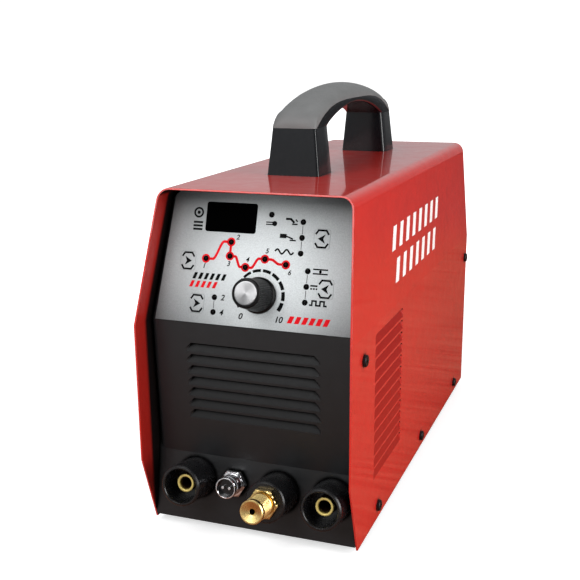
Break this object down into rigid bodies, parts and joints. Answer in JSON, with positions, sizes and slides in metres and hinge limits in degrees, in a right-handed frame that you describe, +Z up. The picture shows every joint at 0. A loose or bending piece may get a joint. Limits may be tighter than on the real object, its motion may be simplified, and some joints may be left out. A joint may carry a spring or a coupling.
{
  "type": "tig welder",
  "caption": "Portable inverter TIG welder: bent steel cover with a carry handle, sloping control fascia, louvred black front with output sockets, rear fan and switch.",
  "frame": {"origin": "on the floor under the middle of the outer box", "axes": "+Z up, the control fascia faces -Y, +X is on the right of somebody facing the front"},
  "size_m": [0.1598, 0.4535, 0.3089],
  "materials": {
    "red_paint": "gloss powder coat",
    "black_panel": "satin fine texture",
    "fascia_film": "satin printed film",
    "display_acrylic": "gloss tinted acrylic",
    "lamp_lens": "gloss",
    "circuit_board": "satin solder mask",
    "black_plastic": "satin moulded",
    "key_film": "satin printed film",
    "knob_plastic": "ribbed satin",
    "spun_aluminium": "spun face",
    "steel": "turned",
    "zinc_steel": "zinc plated sheet",
    "black_screw": "black oxide",
    "brass": "turned",
    "chrome": "plated",
    "rubber_black": "matte",
    "handle_black": "gloss moulded",
    "grip_grey": "matte soft-touch",
    "heatsink_alloy": "extruded",
    "capacitor_sleeve": "gloss sleeve",
    "ferrite": "matte",
    "copper_winding": "enamelled copper",
    "coil_epoxy": "potted"
  },
  "bodies": {
    "case": {"cover": "red_paint", "cover_screws": "black_screw", "base_pan": "black_panel", "rubber_feet": "rubber_black", "foot_screws": "steel", "front_panel": "black_panel", "fascia_overlay": "fascia_film", "display_window": "display_acrylic", "indicator_lamps": "lamp_lens", "control_board": "circuit_board", "board_posts": "brass", "display_module": "black_plastic", "key_switches": "black_plastic", "potentiometer": "zinc_steel", "pot_nut": "zinc_steel", "output_socket_bodies": "black_plastic", "output_socket_inserts": "brass", "torch_socket_body": "black_plastic", "torch_gas_nipple": "brass", "socket_locknuts": "brass", "signal_shell": "chrome", "signal_insert": "black_plastic", "signal_pins": "chrome", "signal_nut": "chrome", "rear_panel": "black_panel", "fan_frame": "black_plastic", "fan_guard": "chrome", "fan_screws": "steel", "switch_housing": "black_plastic", "cable_gland": "black_plastic", "gland_locknut": "black_plastic", "gas_inlet": "brass", "gas_inlet_nut": "brass", "earth_stud": "brass", "earth_nuts": "brass", "handle_grip": "grip_grey", "handle_base": "handle_black", "handle_screws": "steel", "deck_bridge": "zinc_steel", "heatsinks": "heatsink_alloy", "power_transistors": "black_plastic", "power_board": "circuit_board", "bus_capacitors": "capacitor_sleeve", "transformer_core": "ferrite", "transformer_winding": "copper_winding", "output_choke": "copper_winding", "output_rectifier": "heatsink_alloy", "gas_valve": "brass", "valve_coil": "coil_epoxy", "gas_hose": "rubber_black"},
    "amps_knob_body": {"amps_knob": "knob_plastic", "knob_cap": "spun_aluminium", "pot_shaft": "steel"},
    "process_key_body": {"process_key": "key_film"},
    "waveform_key_body": {"waveform_key": "key_film"},
    "parameter_key_body": {"parameter_key": "key_film"},
    "trigger_key_body": {"trigger_key": "key_film"},
    "fan_rotor_body": {"fan_rotor": "black_plastic"},
    "power_rocker_body": {"power_rocker": "black_plastic"},
    "valve_plunger_body": {"valve_plunger": "steel"}
  },
  "joints": [
    {"name": "amps_knob_turn", "type": "hinge", "parent": "case", "child": "amps_knob_body", "pos_m": [0.0046, -0.16923, 0.17635], "axis": [0, -0.9532, 0.3024], "range_deg": [-150, 150]},
    {"name": "process_key_press", "type": "slide", "parent": "case", "child": "process_key_body", "axis": [0, 0.9532, -0.3024], "range_m": [0, 0.0004]},
    {"name": "waveform_key_press", "type": "slide", "parent": "case", "child": "waveform_key_body", "axis": [0, 0.9532, -0.3024], "range_m": [0, 0.0004]},
    {"name": "parameter_key_press", "type": "slide", "parent": "case", "child": "parameter_key_body", "axis": [0, 0.9532, -0.3024], "range_m": [0, 0.0004]},
    {"name": "trigger_key_press", "type": "slide", "parent": "case", "child": "trigger_key_body", "axis": [0, 0.9532, -0.3024], "range_m": [0, 0.0004]},
    {"name": "power_rocker_tilt", "type": "hinge", "parent": "case", "child": "power_rocker_body", "pos_m": [0.03, 0.192, 0.216], "axis": [1, 0, 0], "range_deg": [0, 20]},
    {"name": "fan_spin", "type": "hinge", "parent": "case", "child": "fan_rotor_body", "pos_m": [0, 0.1525, 0.132], "axis": [0, 1, 0], "continuous": true},
    {"name": "valve_plunger_lift", "type": "slide", "parent": "case", "child": "valve_plunger_body", "axis": [0, 0, 1], "range_m": [0, 0.002]}
  ]
}
